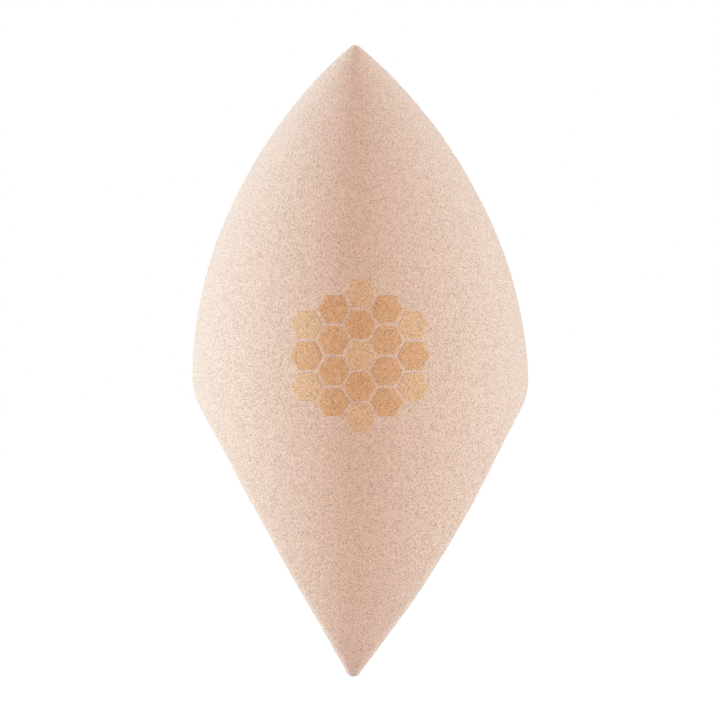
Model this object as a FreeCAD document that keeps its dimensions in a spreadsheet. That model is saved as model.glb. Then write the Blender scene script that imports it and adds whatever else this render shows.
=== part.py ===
import FreeCAD, Part
import enum
import math
import os

import Sketcher
from FreeCAD import Vector

# A makeup sponge: one foam spindle with a pointed nose and two flat bevels that meet in a blunt
# chisel edge, and a patch of honeycomb printed on its front.
# +Z runs up the long axis to the nose, +X is to the right and the print faces -Y.
# The origin is the middle of the sponge's box. All sizes are in millimetres.

SIZES = [
    ("body_diameter", 40.0, "widest diameter of the spindle, at its equator"),
    ("nose_height", 41.4, "equator to the top of the nose"),
    ("nose_radius", 0.8, "rounding of the nose"),
    ("edge_depth", 33.4, "equator to the bottom of the chisel edge"),
    ("edge_length", 9.0, "chisel edge from front to back"),
    ("edge_radius", 1.2, "rounding along the chisel edge"),
    ("bevel_angle", 30.5, "degrees between each bevel and the long axis"),
    ("shoulder_radius", 15.0, "rounding from the side of the spindle into each bevel"),
    ("print_height", 4.5, "equator up to the middle of the print"),
    ("cell_pitch", 3.6, "middle to middle of two printed cells side by side"),
    ("bare_line", 0.25, "bare foam left between two printed cells"),
    ("ink_thickness", 0.1, "film of ink on the skin of the foam, straight out from the front"),
]

doc = FreeCAD.newDocument("makeup_sponge")
sheet = doc.addObject("Spreadsheet::Sheet", "Sizes")
for row, (alias, value, meaning) in enumerate(SIZES, start=1):
    sheet.set(f"A{row}", alias)
    sheet.set(f"B{row}", str(value))
    sheet.set(f"C{row}", meaning)
    sheet.setAlias(f"B{row}", alias)
doc.recompute()

# The sheet's equator lies this far above the origin, which is the middle of the height.
EQUATOR = "(Sizes.edge_depth - Sizes.nose_height) / 2"


class Own(enum.IntEnum):
    """The axes that a sketch has from the start. The level one begins at the origin."""

    LEVEL = -1
    UPRIGHT = -2


class At(enum.IntEnum):
    """The points of a curve in a sketch."""

    START = 1
    END = 2
    CENTRE = 3


def size(alias):
    """A driving dimension, for the first guess that a sketch starts from."""
    return float(getattr(sheet, alias))


def new_body(name):
    """A body whose own zero height is the equator."""
    body = doc.addObject("PartDesign::Body", name)
    body.setExpression("Placement.Base.z", EQUATOR)
    return body


def new_sketch(body, name, plane):
    """A sketch on one of the body's own origin planes."""
    sketch = body.newObject("Sketcher::SketchObject", name)
    support = [feature for feature in body.Origin.OriginFeatures if feature.Role == plane][0]
    sketch.AttachmentSupport = (support, [""])
    sketch.MapMode = "FlatFace"
    return sketch


def rule(sketch, *constraint):
    """Add a constraint that has no size."""
    return sketch.addConstraint(Sketcher.Constraint(*constraint))


def dimension(sketch, name, expression, *constraint):
    """Add a named dimension and bind it to the sheet."""
    index = rule(sketch, *constraint)
    sketch.renameConstraint(index, name)
    sketch.setExpression(f"Constraints.{name}", expression)


def arc(centre_x, centre_y, radius, first, last):
    """Part of a circle between two angles in radians, anticlockwise."""
    circle = Part.Circle(Vector(centre_x, centre_y, 0), Vector(0, 0, 1), radius)
    return Part.ArcOfCircle(circle, first, last)


def line(first, last):
    """A straight line between two points of a sketch."""
    return Part.LineSegment(Vector(*first, 0), Vector(*last, 0))


# The nose and the heel are turned in level bands, so that the facets of a band suit its girth.
NOSE_BANDS = range(4)
HEEL_BANDS = range(2)


# The spindle, turned about the long axis, with its seam at the back
def banded_arc(sketch, name, centre, radius, turn, height, bands):
    """An arc from the equator up, or down where the turn is below zero, in bands of one height."""
    way = math.copysign(1, turn)
    levels = [size(height) * band / len(bands) for band in bands]
    angles = [way * math.asin(level / radius) for level in levels] + [turn]
    arcs = []
    for near, far in zip(angles, angles[1:]):
        arcs.append(sketch.addGeometry(arc(centre, 0, radius, min(near, far), max(near, far))))
    near_end, far_end = (At.START, At.END) if turn > 0 else (At.END, At.START)

    rule(sketch, "PointOnObject", arcs[0], At.CENTRE, Own.LEVEL)
    for band, (inner, outer) in enumerate(zip(arcs, arcs[1:]), start=1):
        rule(sketch, "Coincident", inner, far_end, outer, near_end)
        rule(sketch, "Coincident", inner, At.CENTRE, outer, At.CENTRE)
        dimension(sketch, f"{name}_band_{band}", f"{way} * Sizes.{height} * {band} / {len(bands)}",
                  "DistanceY", Own.LEVEL, At.START, inner, far_end, way * levels[band])
    return arcs


def spindle_outline(sketch):
    """Half outline: nose arc, rounded tip, axis, and the heel arc down to a point."""
    radius = size("body_diameter") / 2
    tip_radius = size("nose_radius")
    tip_centre = size("nose_height") - tip_radius
    half_edge = size("edge_length") / 2
    depth = size("edge_depth")
    nose = (radius**2 + tip_centre**2 - tip_radius**2) / (2 * (radius - tip_radius))
    heel = (depth**2 + (radius - half_edge) ** 2) / (2 * (radius - half_edge))
    nose_turn = math.atan2(tip_centre, nose - radius)
    heel_turn = math.acos((heel - radius) / heel)
    heel_point = (0, -heel * math.sin(heel_turn))

    nose_arcs = banded_arc(sketch, "nose", radius - nose, nose, nose_turn, "nose_height", NOSE_BANDS)
    heel_arcs = banded_arc(sketch, "heel", radius - heel, heel, -heel_turn, "edge_depth", HEEL_BANDS)
    tip_arc = sketch.addGeometry(arc(0, tip_centre, tip_radius, nose_turn, math.pi / 2))
    axis = sketch.addGeometry(line((0, size("nose_height")), heel_point))
    edge_end = sketch.addGeometry(Part.Point(Vector(half_edge, -depth, 0)), True)

    rule(sketch, "PointOnObject", nose_arcs[0], At.START, Own.LEVEL)
    rule(sketch, "Coincident", nose_arcs[0], At.START, heel_arcs[0], At.END)
    rule(sketch, "Tangent", nose_arcs[-1], At.END, tip_arc, At.START)
    rule(sketch, "Coincident", tip_arc, At.END, axis, At.START)
    rule(sketch, "Coincident", axis, At.END, heel_arcs[-1], At.START)
    rule(sketch, "PointOnObject", axis, At.START, Own.UPRIGHT)
    rule(sketch, "PointOnObject", axis, At.END, Own.UPRIGHT)
    rule(sketch, "PointOnObject", tip_arc, At.CENTRE, Own.UPRIGHT)
    rule(sketch, "PointOnObject", edge_end, At.START, heel_arcs[-1])
    dimension(sketch, "body_radius", "Sizes.body_diameter / 2",
              "DistanceX", Own.LEVEL, At.START, nose_arcs[0], At.START, radius)
    dimension(sketch, "nose_height", "Sizes.nose_height",
              "DistanceY", Own.LEVEL, At.START, tip_arc, At.END, size("nose_height"))
    dimension(sketch, "nose_radius", "Sizes.nose_radius", "Radius", tip_arc, tip_radius)
    dimension(sketch, "half_edge", "Sizes.edge_length / 2",
              "DistanceX", Own.LEVEL, At.START, edge_end, At.START, half_edge)
    dimension(sketch, "edge_depth", "Sizes.edge_depth",
              "DistanceY", edge_end, At.START, Own.LEVEL, At.START, depth)


# The cut that leaves the two shoulders, the two bevels and the chisel edge, seen from the front
def bevel_outline(sketch):
    """Everything outside shoulder, bevel, edge, bevel and shoulder, as one closed outline."""
    radius = size("body_diameter") / 2
    depth = size("edge_depth")
    edge_radius = size("edge_radius")
    shoulder_radius = size("shoulder_radius")
    angle = math.radians(size("bevel_angle"))
    outward = Vector(math.cos(angle), -math.sin(angle), 0)
    edge_centre = Vector(0, edge_radius - depth, 0)
    reach = (radius - shoulder_radius) * outward.x + shoulder_radius - edge_radius
    shoulder_height = edge_centre.y - reach / outward.y
    shoulder_centre = Vector(radius - shoulder_radius, shoulder_height, 0)
    bevel_low = edge_centre + outward * edge_radius
    bevel_high = shoulder_centre + outward * shoulder_radius
    side = 2 * radius
    floor = -depth - radius

    edge = sketch.addGeometry(arc(0, edge_centre.y, edge_radius, math.pi + angle, 2 * math.pi - angle))
    right_bevel = sketch.addGeometry(line((bevel_low.x, bevel_low.y), (bevel_high.x, bevel_high.y)))
    right_shoulder = sketch.addGeometry(
        arc(shoulder_centre.x, shoulder_height, shoulder_radius, -angle, 0))
    right_top = sketch.addGeometry(line((radius, shoulder_height), (side, shoulder_height)))
    right_side = sketch.addGeometry(line((side, shoulder_height), (side, floor)))
    bottom = sketch.addGeometry(line((side, floor), (-side, floor)))
    left_side = sketch.addGeometry(line((-side, floor), (-side, shoulder_height)))
    left_top = sketch.addGeometry(line((-side, shoulder_height), (-radius, shoulder_height)))
    left_shoulder = sketch.addGeometry(
        arc(-shoulder_centre.x, shoulder_height, shoulder_radius, math.pi, math.pi + angle))
    left_bevel = sketch.addGeometry(line((-bevel_high.x, bevel_high.y), (-bevel_low.x, bevel_low.y)))

    rule(sketch, "Tangent", edge, At.END, right_bevel, At.START)
    rule(sketch, "Tangent", right_bevel, At.END, right_shoulder, At.START)
    rule(sketch, "Coincident", right_shoulder, At.END, right_top, At.START)
    rule(sketch, "Coincident", right_top, At.END, right_side, At.START)
    rule(sketch, "Coincident", right_side, At.END, bottom, At.START)
    rule(sketch, "Coincident", bottom, At.END, left_side, At.START)
    rule(sketch, "Coincident", left_side, At.END, left_top, At.START)
    rule(sketch, "Coincident", left_top, At.END, left_shoulder, At.START)
    rule(sketch, "Tangent", left_shoulder, At.END, left_bevel, At.START)
    rule(sketch, "Tangent", left_bevel, At.END, edge, At.START)
    rule(sketch, "Horizontal", right_top)
    rule(sketch, "Horizontal", left_top)
    rule(sketch, "Vertical", right_side)
    rule(sketch, "Vertical", left_side)
    rule(sketch, "Horizontal", right_shoulder, At.CENTRE, right_shoulder, At.END)
    rule(sketch, "Horizontal", left_shoulder, At.CENTRE, left_shoulder, At.START)
    rule(sketch, "Symmetric", right_shoulder, At.END, left_shoulder, At.START, Own.UPRIGHT)
    rule(sketch, "Symmetric", bottom, At.START, bottom, At.END, Own.UPRIGHT)
    rule(sketch, "Equal", right_shoulder, left_shoulder)
    rule(sketch, "PointOnObject", edge, At.CENTRE, Own.UPRIGHT)
    dimension(sketch, "edge_radius", "Sizes.edge_radius", "Radius", edge, edge_radius)
    dimension(sketch, "shoulder_radius", "Sizes.shoulder_radius",
              "Radius", right_shoulder, shoulder_radius)
    dimension(sketch, "bevel_rise", "(90 - Sizes.bevel_angle) * 1 deg",
              "Angle", right_bevel, math.pi / 2 - angle)
    dimension(sketch, "body_radius", "Sizes.body_diameter / 2",
              "DistanceX", Own.LEVEL, At.START, right_shoulder, At.END, radius)
    dimension(sketch, "edge_centre", "Sizes.edge_depth - Sizes.edge_radius",
              "DistanceY", edge, At.CENTRE, Own.LEVEL, At.START, depth - edge_radius)
    dimension(sketch, "cut_side", "Sizes.body_diameter",
              "DistanceX", Own.LEVEL, At.START, bottom, At.START, side)
    dimension(sketch, "cut_floor", "Sizes.edge_depth + Sizes.body_diameter / 2",
              "DistanceY", bottom, At.START, Own.LEVEL, At.START, -floor)


foam_body = new_body("foam_body")
spindle_sketch = new_sketch(foam_body, "spindle_outline", "YZ_Plane")
spindle_outline(spindle_sketch)
spindle = foam_body.newObject("PartDesign::Revolution", "spindle")
spindle.Profile = spindle_sketch
spindle.ReferenceAxis = (spindle_sketch, ["V_Axis"])
spindle.Angle = 360
doc.recompute()
uncut_volume = spindle.Shape.Volume

bevel_sketch = new_sketch(foam_body, "bevel_outline", "XZ_Plane")
bevel_outline(bevel_sketch)
bevels = foam_body.newObject("PartDesign::Pocket", "bevels")
bevels.Profile = bevel_sketch
bevels.Type = "ThroughAll"
bevels.SideType = "Symmetric"
doc.recompute()
if not bevels.Shape.Volume < uncut_volume:
    raise RuntimeError("the bevel cut missed the spindle")


# A cell has as many sides as a ring has cells.
HEXAGON = range(6)


# The stamps that print the honeycomb, each straight through the front half of the sponge
def cell_outline(sketch, across, up):
    """One six-sided cell with flat top, so many pitches to the right of the middle and above it."""
    pitch = size("cell_pitch")
    corner_radius = (pitch - size("bare_line")) / math.sqrt(3)
    middle = Vector(across * pitch, up * pitch, 0)
    corners = []
    for number in HEXAGON:
        turn = 2 * math.pi * number / len(HEXAGON)
        corners.append(middle + Vector(math.cos(turn), math.sin(turn), 0) * corner_radius)
    sides = []
    for number in HEXAGON:
        side = Part.LineSegment(corners[number], corners[(number + 1) % len(HEXAGON)])
        sides.append(sketch.addGeometry(side))
    guide = sketch.addGeometry(Part.Circle(middle, Vector(0, 0, 1), corner_radius), True)

    for number, side in enumerate(sides):
        rule(sketch, "Coincident", side, At.END, sides[(number + 1) % len(HEXAGON)], At.START)
        rule(sketch, "PointOnObject", side, At.START, guide)
    for side in sides[1:]:
        rule(sketch, "Equal", sides[0], side)
    rule(sketch, "Horizontal", sides[1])
    dimension(sketch, "corner_radius", "(Sizes.cell_pitch - Sizes.bare_line) / sqrt(3)",
              "Radius", guide, corner_radius)
    if across:
        dimension(sketch, "across", f"{across} * Sizes.cell_pitch",
                  "DistanceX", Own.LEVEL, At.START, guide, At.CENTRE, middle.x)
    else:
        rule(sketch, "PointOnObject", guide, At.CENTRE, Own.UPRIGHT)
    if up:
        dimension(sketch, "up", f"{up} * Sizes.cell_pitch",
                  "DistanceY", Own.LEVEL, At.START, guide, At.CENTRE, middle.y)
    else:
        rule(sketch, "PointOnObject", guide, At.CENTRE, Own.LEVEL)


def cell_stamp(name, across, up):
    """A stamp for the middle cell, or for a ring of cells round the middle."""
    body = new_body(f"{name}_stamp")
    sketch = new_sketch(body, f"{name}_outline", "XZ_Plane")
    sketch.setExpression("AttachmentOffset.Base.y", "Sizes.print_height")
    cell_outline(sketch, across, up)
    pad = body.newObject("PartDesign::Pad", f"{name}_pad")
    pad.Profile = sketch
    pad.setExpression("Length", "Sizes.body_diameter")
    doc.recompute()
    if pad.Shape.BoundBox.Center.y > 0:
        raise RuntimeError(f"{name} points away from the printed front")
    if across or up:
        ring = body.newObject("PartDesign::PolarPattern", f"{name}_ring")
        ring.Originals = [pad]
        ring.Axis = (sketch, ["N_Axis"])
        ring.Angle = 360
        ring.Occurrences = len(HEXAGON)
        body.Tip = ring
        doc.recompute()
    return body


stamps = {
    "print_middle_cell": cell_stamp("print_middle_cell", 0, 0),
    "print_inner_cells": cell_stamp("print_inner_cells", 0, 1),
    "print_corner_cells": cell_stamp("print_corner_cells", 0, 2),
    "print_side_cells": cell_stamp("print_side_cells", math.sqrt(3), 0),
}


# The ink is what each stamp leaves between the foam and a copy of the foam moved to the front.
ink_face = doc.addObject("Part::Compound", "ink_face")
ink_face.Links = [foam_body]
ink_face.setExpression("Placement.Base.y", "-Sizes.ink_thickness")

nodes = {"foam_body": foam_body}
for name, stamp in stamps.items():
    pressed = doc.addObject("Part::Common", f"{name}_pressed")
    pressed.Base = stamp
    pressed.Tool = ink_face
    ink = doc.addObject("Part::Cut", name)
    ink.Base = pressed
    ink.Tool = foam_body
    nodes[name] = ink
doc.recompute()

# Nothing is written unless every object is sound and every piece is whole.
for item in doc.Objects:
    if "Invalid" in item.State or "Error" in item.State:
        raise RuntimeError(f"{item.Name} failed: {item.State}")
single_pieces = ("foam_body", "print_middle_cell")
for name, node in nodes.items():
    shape = node.Shape
    if shape.isNull() or not shape.isValid():
        raise RuntimeError(f"{name} has no valid shape")
    if len(shape.Solids) != (1 if name in single_pieces else len(HEXAGON)):
        raise RuntimeError(f"{name} has {len(shape.Solids)} solids")

os.makedirs("parts", exist_ok=True)
for name, node in nodes.items():
    node.Label = name
    node.Shape.exportStep(f"parts/{name}.step")
    box = node.Shape.BoundBox
    print(f"{name}: {len(node.Shape.Solids)} solids, {node.Shape.Volume:.3f} mm3, "
          f"x {box.XMin:.3f} to {box.XMax:.3f}, y {box.YMin:.3f} to {box.YMax:.3f}, "
          f"z {box.ZMin:.3f} to {box.ZMax:.3f}")
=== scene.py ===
import math

import bpy
import numpy as np
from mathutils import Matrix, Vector, noise


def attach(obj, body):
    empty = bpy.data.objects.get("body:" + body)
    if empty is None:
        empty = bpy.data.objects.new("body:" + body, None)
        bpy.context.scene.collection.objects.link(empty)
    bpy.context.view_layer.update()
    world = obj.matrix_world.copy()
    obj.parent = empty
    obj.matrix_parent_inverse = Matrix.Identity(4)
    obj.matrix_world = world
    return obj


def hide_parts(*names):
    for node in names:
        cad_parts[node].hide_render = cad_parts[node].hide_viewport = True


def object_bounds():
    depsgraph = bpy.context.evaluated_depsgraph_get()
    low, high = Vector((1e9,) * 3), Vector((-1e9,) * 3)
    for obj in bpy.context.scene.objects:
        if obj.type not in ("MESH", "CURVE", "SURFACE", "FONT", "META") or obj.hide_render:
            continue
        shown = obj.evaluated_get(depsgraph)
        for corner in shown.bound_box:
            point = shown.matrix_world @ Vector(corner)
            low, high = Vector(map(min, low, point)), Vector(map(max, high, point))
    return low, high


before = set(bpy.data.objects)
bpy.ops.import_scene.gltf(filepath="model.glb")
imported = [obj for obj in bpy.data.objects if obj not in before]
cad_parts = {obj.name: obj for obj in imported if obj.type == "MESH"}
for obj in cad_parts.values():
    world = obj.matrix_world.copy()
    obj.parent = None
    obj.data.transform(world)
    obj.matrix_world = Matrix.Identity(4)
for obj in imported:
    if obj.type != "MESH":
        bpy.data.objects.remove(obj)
cad_box = [list(corner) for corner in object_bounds()]

# A foam makeup sponge with a honeycomb printed on its front, which faces -Y.
# +Z runs up the long axis to the nose. All sizes are in metres.
MM = 0.001

# The turned spindle, with the sizes of the frame's solid
RADIUS = 20.0 * MM
NOSE_HEIGHT = 41.4 * MM
NOSE_RADIUS = 0.8 * MM
EDGE_DEPTH = 33.4 * MM
HALF_EDGE = 4.5 * MM
EQUATOR = (EDGE_DEPTH - NOSE_HEIGHT) / 2
TIP_CENTRE = NOSE_HEIGHT - NOSE_RADIUS
NOSE_ARC = (RADIUS**2 + TIP_CENTRE**2 - NOSE_RADIUS**2) / (2 * (RADIUS - NOSE_RADIUS))
HEEL_ARC = (EDGE_DEPTH**2 + (RADIUS - HALF_EDGE) ** 2) / (2 * (RADIUS - HALF_EDGE))
NOSE_TURN = math.atan2(TIP_CENTRE, NOSE_ARC - RADIUS)

# The cut that leaves two shoulders, two bevels and the chisel edge, fitted to the photo's outline.
# Where its depth and the spindle's are within the rim's reach of each other, the rim is softened.
BEVEL_ANGLE = math.radians(30.15)
EDGE_RADIUS = 1.0 * MM
EDGE_HEIGHT = EDGE_RADIUS - EDGE_DEPTH
SHOULDER_RADIUS = 9.0 * MM
SHOULDER_PROUD = 0.3 * MM
SHOULDER_MIDDLE = RADIUS + SHOULDER_PROUD - SHOULDER_RADIUS
SHOULDER_HEIGHT = EDGE_HEIGHT + (
    SHOULDER_MIDDLE * math.cos(BEVEL_ANGLE) + SHOULDER_RADIUS - EDGE_RADIUS
) / math.sin(BEVEL_ANGLE)
RIM_REACH = 0.7 * MM

# How the soft foam departs from that: its cut faces swell, its nose is slimmer and its axis bows.
BEVEL_CROWN = 0.47 * MM
CROWN_TOP = -5.0 * MM
NOSE_SLIM = 0.2 * MM
SLIM_START = 15.0 * MM
BOW_LEAN = -0.0157
BOW_TOP = 0.26 * MM
BOW_START = -16.6 * MM
BOW_DEEP = -1.08 * MM
BOW_REACH = 20.8 * MM

# The skin of the foam: soft dents and a pebbled grain, coarse enough for the mesh
DENT_SIZE = 6.0 * MM
DENT_HEIGHT = 0.05 * MM
GRAIN_SIZES = (1.3 * MM, 0.75 * MM)
GRAIN_HEIGHTS = (0.022 * MM, 0.02 * MM)

# The mesh of the foam: a disc of rings above its equator and one below
FOAM_SIDES = 4
FOAM_RINGS = 156
SEARCH_REACH = 60 * MM
SEARCH_STEPS = 40

# The printed honeycomb: films of ink that stand on the foam and dip into it at their edges.
# The higher the flatness, the nearer to its edge a film keeps its full height.
PRINT_HEIGHT = 4.5 * MM
CELL_PITCH = 3.6 * MM
BARE_LINE = 0.25 * MM
CELL_SIDES = 6
CELL_RINGS = 16
INK_RISE = 0.05 * MM
INK_SINK = 0.06 * MM
INK_DIP = 0.018 * MM
INK_FLATNESS = 12

# Colours and finish of the foam, with shade painted into its pores
FOAM_ROSE = (0.91, 0.583, 0.465, 1)
FOAM_CREAM = (0.895, 0.593, 0.449, 1)
FOAM_SPECK = (0.49, 0.286, 0.206, 1)
# Painted shade: the dark colour put inside the pores, and how much of it they take
FOAM_PORE_PAINTED_SHADE = (0.40, 0.23, 0.155, 1)
FOAM_PORE_SHADE_SHARE = 0.6
FOAM_ROUGHNESS = 0.92
FOAM_SPECULAR = 0.2
FOAM_SHEEN = 0.5
SHEEN_ROUGHNESS = 0.5
WHITE = (1, 1, 1, 1)

# Colours and finish of the ink, which is darker in specks, has shade painted into its pores and is
# worn in places
INK_DARK = (0.86, 0.445, 0.232, 1)
INK_LIGHT = (0.92, 0.535, 0.315, 1)
# The share of its colour that the ink keeps in its darker specks and, as painted shade, in its pores
INK_SPECK_TONE_AND_PORE_SHADE = 0.455
INK_PORE_SHADE_SHARE = 0.5
INK_WORN_SHARE = 0.3
INK_ROUGHNESS = 0.75
INK_SPECULAR = 0.25

# The fine grain of foam and ink: bumps, specks, pores with shade painted into them, and soft patches
BUMP_SIZE = 0.16 * MM
BUMP_DETAIL = 2.0
BUMP_ROUGHNESS = 0.6
GRAIN_DEPTH = 0.18 * MM
SPECK_SIZE = 0.11 * MM
SPECK_LIGHT = 0.55
SPECK_DARK = 0.0
PORE_SPACING = 0.42 * MM
PORE_EDGE = 0.22
PORE_FLOOR = 0.1
PORE_DEPTH = 0.25
PATCH_DETAIL = 3.0
PATCH_ROUGHNESS = 0.5
MOTTLE_SIZE = 6.0 * MM
MOTTLE_LOW = 0.3
MOTTLE_HIGH = 0.7
WORN_SIZE = 0.8 * MM
WORN_LOW = 0.52
WORN_HIGH = 0.78

# The floor, which glows a little so that it renders white where it is seen
FLOOR_SIZE = 4.0
FLOOR_COLOUR = (0.9, 0.9, 0.9, 1)
FLOOR_ROUGHNESS = 0.9
FLOOR_SPECULAR = 0.0
GLOW_COLOUR = (0.8, 0.93, 1.0, 1)
GLOW = 0.13
GLOW_ADDED_WHERE_SEEN = 0.27

# A warm fill and two cool side lamps
FILL_COLOUR = (1.0, 0.92, 0.862, 1)
FILL_STRENGTH = 0.815
LAMP_SIZE = 0.3
LAMP_DISTANCE = 1.2
LAMP_HEIGHT = 0.13
LEFT_LAMP_BACK = 0.1
LEFT_LAMP_POWER = 13.6
LEFT_LAMP_COLOUR = (0.55, 1.0, 1.21)
RIGHT_LAMP_BACK = 0.0
RIGHT_LAMP_POWER = 9.2
RIGHT_LAMP_COLOUR = (0.58, 1.0, 1.17)

# The camera. Blender takes the sensor and the lens in millimetres.
CAMERA_DISTANCE = 0.9
VIEW_WIDTH = 85.46 * MM
SENSOR_IN_MM = 36.0


# The shape of the foam, as a depth below zero inside and above zero outside
def spindle_depth(out, up):
    """Depth in the turned spindle, at a distance out from the axis and up from the equator."""
    tip = np.hypot(out, up - TIP_CENTRE) - NOSE_RADIUS
    slim = np.clip((up - SLIM_START) / (TIP_CENTRE - SLIM_START), 0, 1)
    nose = np.hypot(out + NOSE_ARC - RADIUS, up) - NOSE_ARC + NOSE_SLIM * np.sin(math.pi * slim)
    heel = np.hypot(out + HEEL_ARC - RADIUS, up) - HEEL_ARC
    turn = np.arctan2(up, out + NOSE_ARC - RADIUS)
    return np.where(up > 0, np.where(turn > NOSE_TURN, tip, nose), heel)


def cut_depth(across, up):
    """Depth behind the shoulders, the bevels and the chisel edge, at a distance from the middle."""
    beside = across - SHOULDER_MIDDLE
    above = up - SHOULDER_HEIGHT
    turn = np.clip(np.arctan2(above, beside), -BEVEL_ANGLE, 0)
    shoulder = beside * np.cos(turn) + above * np.sin(turn) - SHOULDER_RADIUS
    above = up - EDGE_HEIGHT
    turn = np.clip(np.arctan2(above, across), -math.pi / 2, -BEVEL_ANGLE)
    edge = across * np.cos(turn) + above * np.sin(turn) - EDGE_RADIUS
    share = np.clip((up - EDGE_HEIGHT) / (CROWN_TOP - EDGE_HEIGHT), 0, 1)
    return np.maximum(shoulder, edge) - BEVEL_CROWN * np.sin(math.pi * share)


def foam_depth(points):
    """Depth in the foam, with the rim between spindle and cut softened."""
    up = points[:, 2] - EQUATOR
    spindle = spindle_depth(np.hypot(points[:, 0], points[:, 1]), up)
    cut = cut_depth(np.abs(points[:, 0]), up)
    blend = np.maximum(RIM_REACH - np.abs(spindle - cut), 0)
    return np.maximum(spindle, cut) + blend**2 / (4 * RIM_REACH)


def bow(height):
    """How far the long axis is bowed to the right at each height."""
    speck_tone_and_pore_shade = np.maximum(BOW_START - height, 0) / BOW_REACH
    return BOW_TOP + np.maximum(height - BOW_START, 0) * BOW_LEAN + BOW_DEEP * speck_tone_and_pore_shade**2


def way_out(starts, directions):
    """How far each ray runs from its start inside the foam to the skin, found by halving."""
    near = np.zeros(len(starts))
    far = np.full(len(starts), SEARCH_REACH)
    for _ in range(SEARCH_STEPS):
        middle = (near + far) / 2
        inside = foam_depth(starts + directions * middle[:, None]) < 0
        near = np.where(inside, middle, near)
        far = np.where(inside, far, middle)
    return near


def surface(directions):
    """The points where rays from the origin leave the foam, moved by the bow of its axis."""
    points = directions * way_out(np.zeros_like(directions), directions)[:, None]
    points[:, 0] += bow(points[:, 2])
    return points


def grain(points):
    """Height of the skin above the smooth form at each point."""
    heights = np.zeros(len(points))
    for number, point in enumerate(points):
        place = Vector(point)
        height = DENT_HEIGHT * noise.noise(place / DENT_SIZE)
        for size, rise in zip(GRAIN_SIZES, GRAIN_HEIGHTS):
            height += rise * noise.noise(place / size)
        heights[number] = height
    return heights


# Discs of rings: one point in the middle, then rings that each have one more point a side
def ring_counts(sides, rings):
    """How many points each ring of a disc has, from its middle out."""
    return [max(sides * ring, 1) for ring in range(rings + 1)]


def ring_starts(counts):
    """The number of the first point of each ring."""
    return [sum(counts[:ring]) for ring in range(len(counts))]


def disc_triangles(sides, starts):
    """Triangles between the rings of a disc, given the number of each ring's first point."""
    triangles = []
    counts = ring_counts(sides, len(starts) - 1)
    for ring in range(len(starts) - 1):
        for side in range(sides):
            for step in range(ring + 1):
                inner = side * ring + step
                outer = side * (ring + 1) + step
                here = starts[ring] + inner % counts[ring]
                there = starts[ring + 1] + outer
                after = starts[ring + 1] + (outer + 1) % counts[ring + 1]
                triangles.append((here, there, after))
                if step < ring:
                    triangles.append((here, after, starts[ring] + (inner + 1) % counts[ring]))
    return triangles


def new_mesh(name, points, faces, material):
    """A smooth mesh object of its own."""
    mesh = bpy.data.meshes.new(name)
    mesh.from_pydata(points, [], faces)
    mesh.shade_smooth()
    mesh.materials.append(material)
    piece = bpy.data.objects.new(name, mesh)
    bpy.context.scene.collection.objects.link(piece)
    return piece


# The foam
def foam_directions():
    """Directions of the foam's points, ring by ring from the nose to the chisel edge."""
    directions = []
    counts = ring_counts(FOAM_SIDES, FOAM_RINGS)
    rings = [(ring, NOSE_ARC, 1) for ring in range(FOAM_RINGS + 1)]
    rings += [(ring, HEEL_ARC, -1) for ring in reversed(range(FOAM_RINGS))]
    for ring, arc, way in rings:
        turn = math.acos((arc - RADIUS) / arc) * (1 - ring / FOAM_RINGS)
        out = arc * math.cos(turn) - arc + RADIUS
        up = EQUATOR + way * arc * math.sin(turn)
        for step in range(counts[ring]):
            angle = 2 * math.pi * step / counts[ring]
            directions.append((out * math.cos(angle), out * math.sin(angle), up))
    directions = np.array(directions)
    return directions / np.linalg.norm(directions, axis=1)[:, None]


def foam_triangles():
    """Triangles of the foam: a disc from the nose and one from the edge that meet at the equator."""
    counts = ring_counts(FOAM_SIDES, FOAM_RINGS)
    starts = ring_starts(counts + counts[-2::-1])
    upper = disc_triangles(FOAM_SIDES, starts[:FOAM_RINGS + 1])
    lower = disc_triangles(FOAM_SIDES, starts[FOAM_RINGS:][::-1])
    return upper + [triangle[::-1] for triangle in lower]


def vertex_normals(mesh):
    """The outward normals of a mesh's points."""
    normals = np.zeros(len(mesh.vertices) * 3)
    mesh.vertex_normals.foreach_get("vector", normals)
    return normals.reshape(-1, 3)


def build_foam(material):
    """The whole foam body, with its grain."""
    points = surface(foam_directions())
    piece = new_mesh("sponge_foam", points, foam_triangles(), material)
    points = points + vertex_normals(piece.data) * grain(points)[:, None]
    piece.data.vertices.foreach_set("co", points.ravel())
    piece.data.update()
    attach(piece, "root")
    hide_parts("foam_body")


# The print, one mesh for each node of the frame
def cell_pattern():
    """Points of one cell round its middle, and how far out each of them lies, from 0 to 1."""
    reach = (CELL_PITCH - BARE_LINE) / math.sqrt(3)
    offsets = [(0.0, 0.0)]
    shares = [0.0]
    for ring in range(1, CELL_RINGS + 1):
        share = ring / CELL_RINGS
        for step in range(CELL_SIDES * ring):
            side, along = divmod(step, ring)
            first = 2 * math.pi * side / CELL_SIDES
            second = 2 * math.pi * (side + 1) / CELL_SIDES
            part = along / ring
            across = (1 - part) * math.cos(first) + part * math.cos(second)
            up = (1 - part) * math.sin(first) + part * math.sin(second)
            offsets.append((across * reach * share, up * reach * share))
            shares.append(share)
    return np.array(offsets), np.array(shares)


def front_of_foam(places):
    """The printed front of the foam at each place across and up, with its grain."""
    across, up = places.T
    starts = np.column_stack([across - bow(up), np.zeros(len(places)), up])
    forward = np.tile((0.0, -1.0, 0.0), (len(places), 1))
    points = np.column_stack([across, -way_out(starts, forward), up])
    points[:, 1] -= grain(points)
    return points


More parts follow.
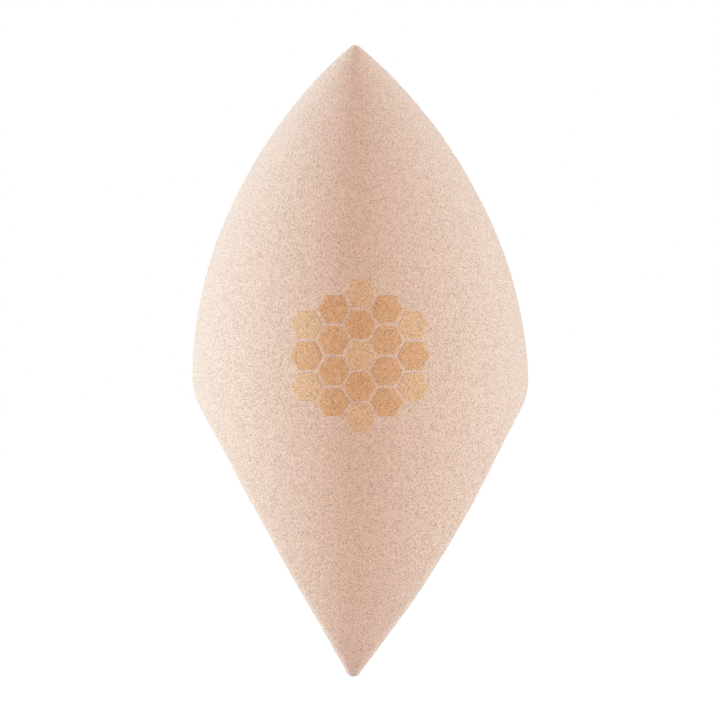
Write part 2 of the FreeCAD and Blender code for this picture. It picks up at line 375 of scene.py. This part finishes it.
def build_cells(name, node, middles, material):
    """All cells of one node, each a film with a front, a back and a thin rounded edge."""
    offsets, shares = cell_pattern()
    rise = INK_RISE * np.sqrt(1 - shares**INK_FLATNESS) - INK_DIP * (shares == 1)
    counts = ring_counts(CELL_SIDES, CELL_RINGS)
    fan = disc_triangles(CELL_SIDES, ring_starts(counts))
    size = len(offsets)
    points = []
    faces = []
    for across, up in middles:
        middle = (across * CELL_PITCH, PRINT_HEIGHT + EQUATOR + up * CELL_PITCH)
        front = front_of_foam(offsets + middle)
        back = front.copy()
        front[:, 1] -= rise
        back[:, 1] += INK_SINK
        start = len(points)
        points.extend(front)
        points.extend(back)
        faces.extend(tuple(start + corner for corner in face) for face in fan)
        faces.extend(tuple(start + size + corner for corner in face[::-1]) for face in fan)
        rim = start + size - counts[-1]
        for step in range(counts[-1]):
            here = rim + step
            there = rim + (step + 1) % counts[-1]
            faces.append((here, here + size, there + size, there))
    piece = new_mesh(name, points, faces, material)
    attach(piece, "root")
    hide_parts(node)


def ring_of_cells(across, up):
    """The place of one cell, counted in pitches from the middle, and its five turned copies."""
    places = []
    for number in range(CELL_SIDES):
        turn = 2 * math.pi * number / CELL_SIDES
        turned_across = across * math.cos(turn) - up * math.sin(turn)
        turned_up = across * math.sin(turn) + up * math.cos(turn)
        places.append((turned_across, turned_up))
    return places


# Materials
class Shader:
    """The nodes of a material or of the world, made and joined one at a time."""

    def __init__(self, owner):
        owner.use_nodes = True
        self.owner = owner
        self.nodes = owner.node_tree.nodes
        self.links = owner.node_tree.links

    def node(self, kind, **settings):
        """Add a node and set its own settings."""
        node = self.nodes.new(kind)
        for name, value in settings.items():
            setattr(node, name, value)
        return node

    def feed(self, socket, value):
        """Give an input socket a plain value or another node's output."""
        if isinstance(value, bpy.types.NodeSocket):
            self.links.new(value, socket)
        else:
            socket.default_value = value

    def set(self, node, **values):
        """Feed a node's input sockets by name."""
        for name, value in values.items():
            self.feed(node.inputs[name.replace("_", " ")], value)

    def ramp(self, value, first, last):
        """Stretch a value so that first becomes 0 and last becomes 1."""
        node = self.node("ShaderNodeMapRange", clamp=True)
        self.set(node, Value=value, From_Min=first, From_Max=last)
        return node.outputs["Result"]

    def mix(self, share, first, second):
        """Mix two colours, for which this node has inputs 6 and 7 and output 2."""
        node = self.node("ShaderNodeMix", data_type="RGBA")
        self.feed(node.inputs[0], share)
        self.feed(node.inputs[6], first)
        self.feed(node.inputs[7], second)
        return node.outputs[2]

    def maths(self, operation, first, second):
        """One sum of two values."""
        node = self.node("ShaderNodeMath", operation=operation)
        self.feed(node.inputs[0], first)
        self.feed(node.inputs[1], second)
        return node.outputs[0]

    def noise(self, place, size, detail, roughness):
        """Noise with lumps of about one size, from 0 to 1."""
        node = self.node("ShaderNodeTexNoise")
        self.set(node, Vector=place, Scale=1 / size, Detail=detail, Roughness=roughness)
        return node.outputs["Fac"]

    def cells(self, place, size):
        """Cells of about one size: a colour of its own for each and the distance from its middle."""
        node = self.node("ShaderNodeTexVoronoi", feature="F1")
        self.set(node, Vector=place, Scale=1 / size)
        return node.outputs["Color"], node.outputs["Distance"]

    def seen(self):
        """1 where this is seen, also in metal or through glass, and 0 where it only gives light."""
        path = self.node("ShaderNodeLightPath")
        seen = self.maths("MAXIMUM", path.outputs["Is Camera Ray"], path.outputs["Is Glossy Ray"])
        return self.maths("MAXIMUM", seen, path.outputs["Is Transmission Ray"])


def skin(shader):
    """The place on the piece, the dark specks and the pores, which get painted shade, there from 0 to
    1, and the bumpy normal.
    """
    place = shader.node("ShaderNodeTexCoord").outputs["Object"]
    speck_colours, _ = shader.cells(place, SPECK_SIZE)
    specks = shader.ramp(speck_colours, SPECK_LIGHT, SPECK_DARK)
    # The pores dent the bump and also mark where the materials paint shade
    _, pore_distances = shader.cells(place, PORE_SPACING)
    pores = shader.ramp(pore_distances, PORE_EDGE, PORE_FLOOR)
    bumps = shader.noise(place, BUMP_SIZE, BUMP_DETAIL, BUMP_ROUGHNESS)
    heights = shader.maths("SUBTRACT", bumps, shader.maths("MULTIPLY", pores, PORE_DEPTH))
    bump = shader.node("ShaderNodeBump")
    shader.set(bump, Height=heights, Strength=1.0, Distance=GRAIN_DEPTH)
    return place, specks, pores, bump.outputs["Normal"]


def foam_material():
    """Soft flesh-coloured foam with an open-pored skin, with shade painted into its pores."""
    shader = Shader(bpy.data.materials.new("foam"))
    place, specks, pores, normal = skin(shader)
    patches = shader.noise(place, MOTTLE_SIZE, PATCH_DETAIL, PATCH_ROUGHNESS)
    colour = shader.mix(shader.ramp(patches, MOTTLE_LOW, MOTTLE_HIGH), FOAM_ROSE, FOAM_CREAM)
    colour = shader.mix(specks, colour, FOAM_SPECK)
    # Painted shade: the colour is darkened towards a dark brown inside the pores, where shade falls
    colour = shader.mix(shader.maths("MULTIPLY", pores, FOAM_PORE_SHADE_SHARE), colour, FOAM_PORE_PAINTED_SHADE)
    shader.set(
        shader.nodes["Principled BSDF"],
        Base_Color=colour,
        Roughness=FOAM_ROUGHNESS,
        Normal=normal,
        Sheen_Weight=FOAM_SHEEN,
        Sheen_Roughness=SHEEN_ROUGHNESS,
        Sheen_Tint=WHITE,
        Specular_IOR_Level=FOAM_SPECULAR,
    )
    return shader.owner


def ink_material(name, colour):
    """A thin film of ink that follows the grain of the foam under it, with shade painted into its
    pores.
    """
    shader = Shader(bpy.data.materials.new(name))
    place, specks, pores, normal = skin(shader)
    # The darker ink of the specks, which also serves as the painted shade in the pores
    speck_tone_and_pore_shade = tuple(INK_SPECK_TONE_AND_PORE_SHADE * part for part in colour[:3]) + (1,)
    ink = shader.mix(specks, colour, speck_tone_and_pore_shade)
    # Painted shade: the ink is darkened inside the pores, where shade falls
    ink = shader.mix(shader.maths("MULTIPLY", pores, INK_PORE_SHADE_SHARE), ink, speck_tone_and_pore_shade)
    patches = shader.noise(place, WORN_SIZE, PATCH_DETAIL, PATCH_ROUGHNESS)
    worn = shader.ramp(patches, WORN_LOW, WORN_HIGH)
    ink = shader.mix(shader.maths("MULTIPLY", worn, INK_WORN_SHARE), ink, FOAM_CREAM)
    shader.set(
        shader.nodes["Principled BSDF"],
        Base_Color=ink,
        Roughness=INK_ROUGHNESS,
        Normal=normal,
        Specular_IOR_Level=INK_SPECULAR,
    )
    return shader.owner


# Stage, lamps and camera
def build_stage():
    """A white floor at the foot of the sponge that keeps a soft shadow."""
    shader = Shader(bpy.data.materials.new("floor"))
    added = shader.maths("MULTIPLY", shader.seen(), GLOW_ADDED_WHERE_SEEN)
    shader.set(
        shader.nodes["Principled BSDF"],
        Base_Color=FLOOR_COLOUR,
        Roughness=FLOOR_ROUGHNESS,
        Specular_IOR_Level=FLOOR_SPECULAR,
        Emission_Color=GLOW_COLOUR,
        Emission_Strength=shader.maths("ADD", added, GLOW),
    )
    half = FLOOR_SIZE / 2
    level = cad_box[0][2]
    corners = [(-half, -half, level), (half, -half, level), (half, half, level), (-half, half, level)]
    floor = new_mesh("floor", corners, [(0, 1, 2, 3)], shader.owner)


def build_world():
    """White where the background is seen, and a warm fill on the sponge."""
    shader = Shader(bpy.data.worlds.new("studio"))
    bpy.context.scene.world = shader.owner
    fill = shader.nodes["Background"]
    shader.set(fill, Color=FILL_COLOUR, Strength=FILL_STRENGTH)
    white = shader.node("ShaderNodeBackground")
    shader.set(white, Color=WHITE)
    either = shader.node("ShaderNodeMixShader")
    shader.feed(either.inputs[0], shader.seen())
    shader.feed(either.inputs[1], fill.outputs[0])
    shader.feed(either.inputs[2], white.outputs[0])
    shader.set(shader.nodes["World Output"], Surface=either.outputs[0])


def build_lamp(name, place, power, colour):
    """A square soft lamp that looks at the middle of the sponge."""
    lamp = bpy.data.lights.new(name, "AREA")
    lamp.shape = "SQUARE"
    lamp.size = LAMP_SIZE
    lamp.energy = power
    lamp.color = colour
    holder = bpy.data.objects.new(name, lamp)
    holder.location = place
    holder.rotation_euler = (-Vector(place)).to_track_quat("-Z", "Y").to_euler()
    bpy.context.scene.collection.objects.link(holder)


def build_camera():
    """A long lens straight in front of the sponge."""
    camera = bpy.data.cameras.new("camera")
    camera.sensor_width = SENSOR_IN_MM
    camera.lens = SENSOR_IN_MM * CAMERA_DISTANCE / VIEW_WIDTH
    holder = bpy.data.objects.new("camera", camera)
    holder.location = (0, -CAMERA_DISTANCE, 0)
    holder.rotation_euler = (math.pi / 2, 0, 0)
    bpy.context.scene.collection.objects.link(holder)
    bpy.context.scene.camera = holder


bpy.context.scene.view_settings.view_transform = "Standard"
build_foam(foam_material())
dark_ink = ink_material("ink_dark", INK_DARK)
light_ink = ink_material("ink_light", INK_LIGHT)
inner_places = ring_of_cells(0, 1)
corner_places = ring_of_cells(0, 2)
side_places = ring_of_cells(math.sqrt(3), 0)
build_cells("sponge_print_middle", "print_middle_cell", [(0, 0)], light_ink)
build_cells("sponge_print_inner", "print_inner_cells", inner_places, dark_ink)
build_cells("sponge_print_corners", "print_corner_cells", corner_places, light_ink)
build_cells("sponge_print_sides", "print_side_cells", side_places, dark_ink)
build_stage()
build_world()
left_place = (-LAMP_DISTANCE, LEFT_LAMP_BACK, LAMP_HEIGHT)
right_place = (LAMP_DISTANCE, RIGHT_LAMP_BACK, LAMP_HEIGHT)
build_lamp("left_lamp", left_place, LEFT_LAMP_POWER, LEFT_LAMP_COLOUR)
build_lamp("right_lamp", right_place, RIGHT_LAMP_POWER, RIGHT_LAMP_COLOUR)
build_camera()
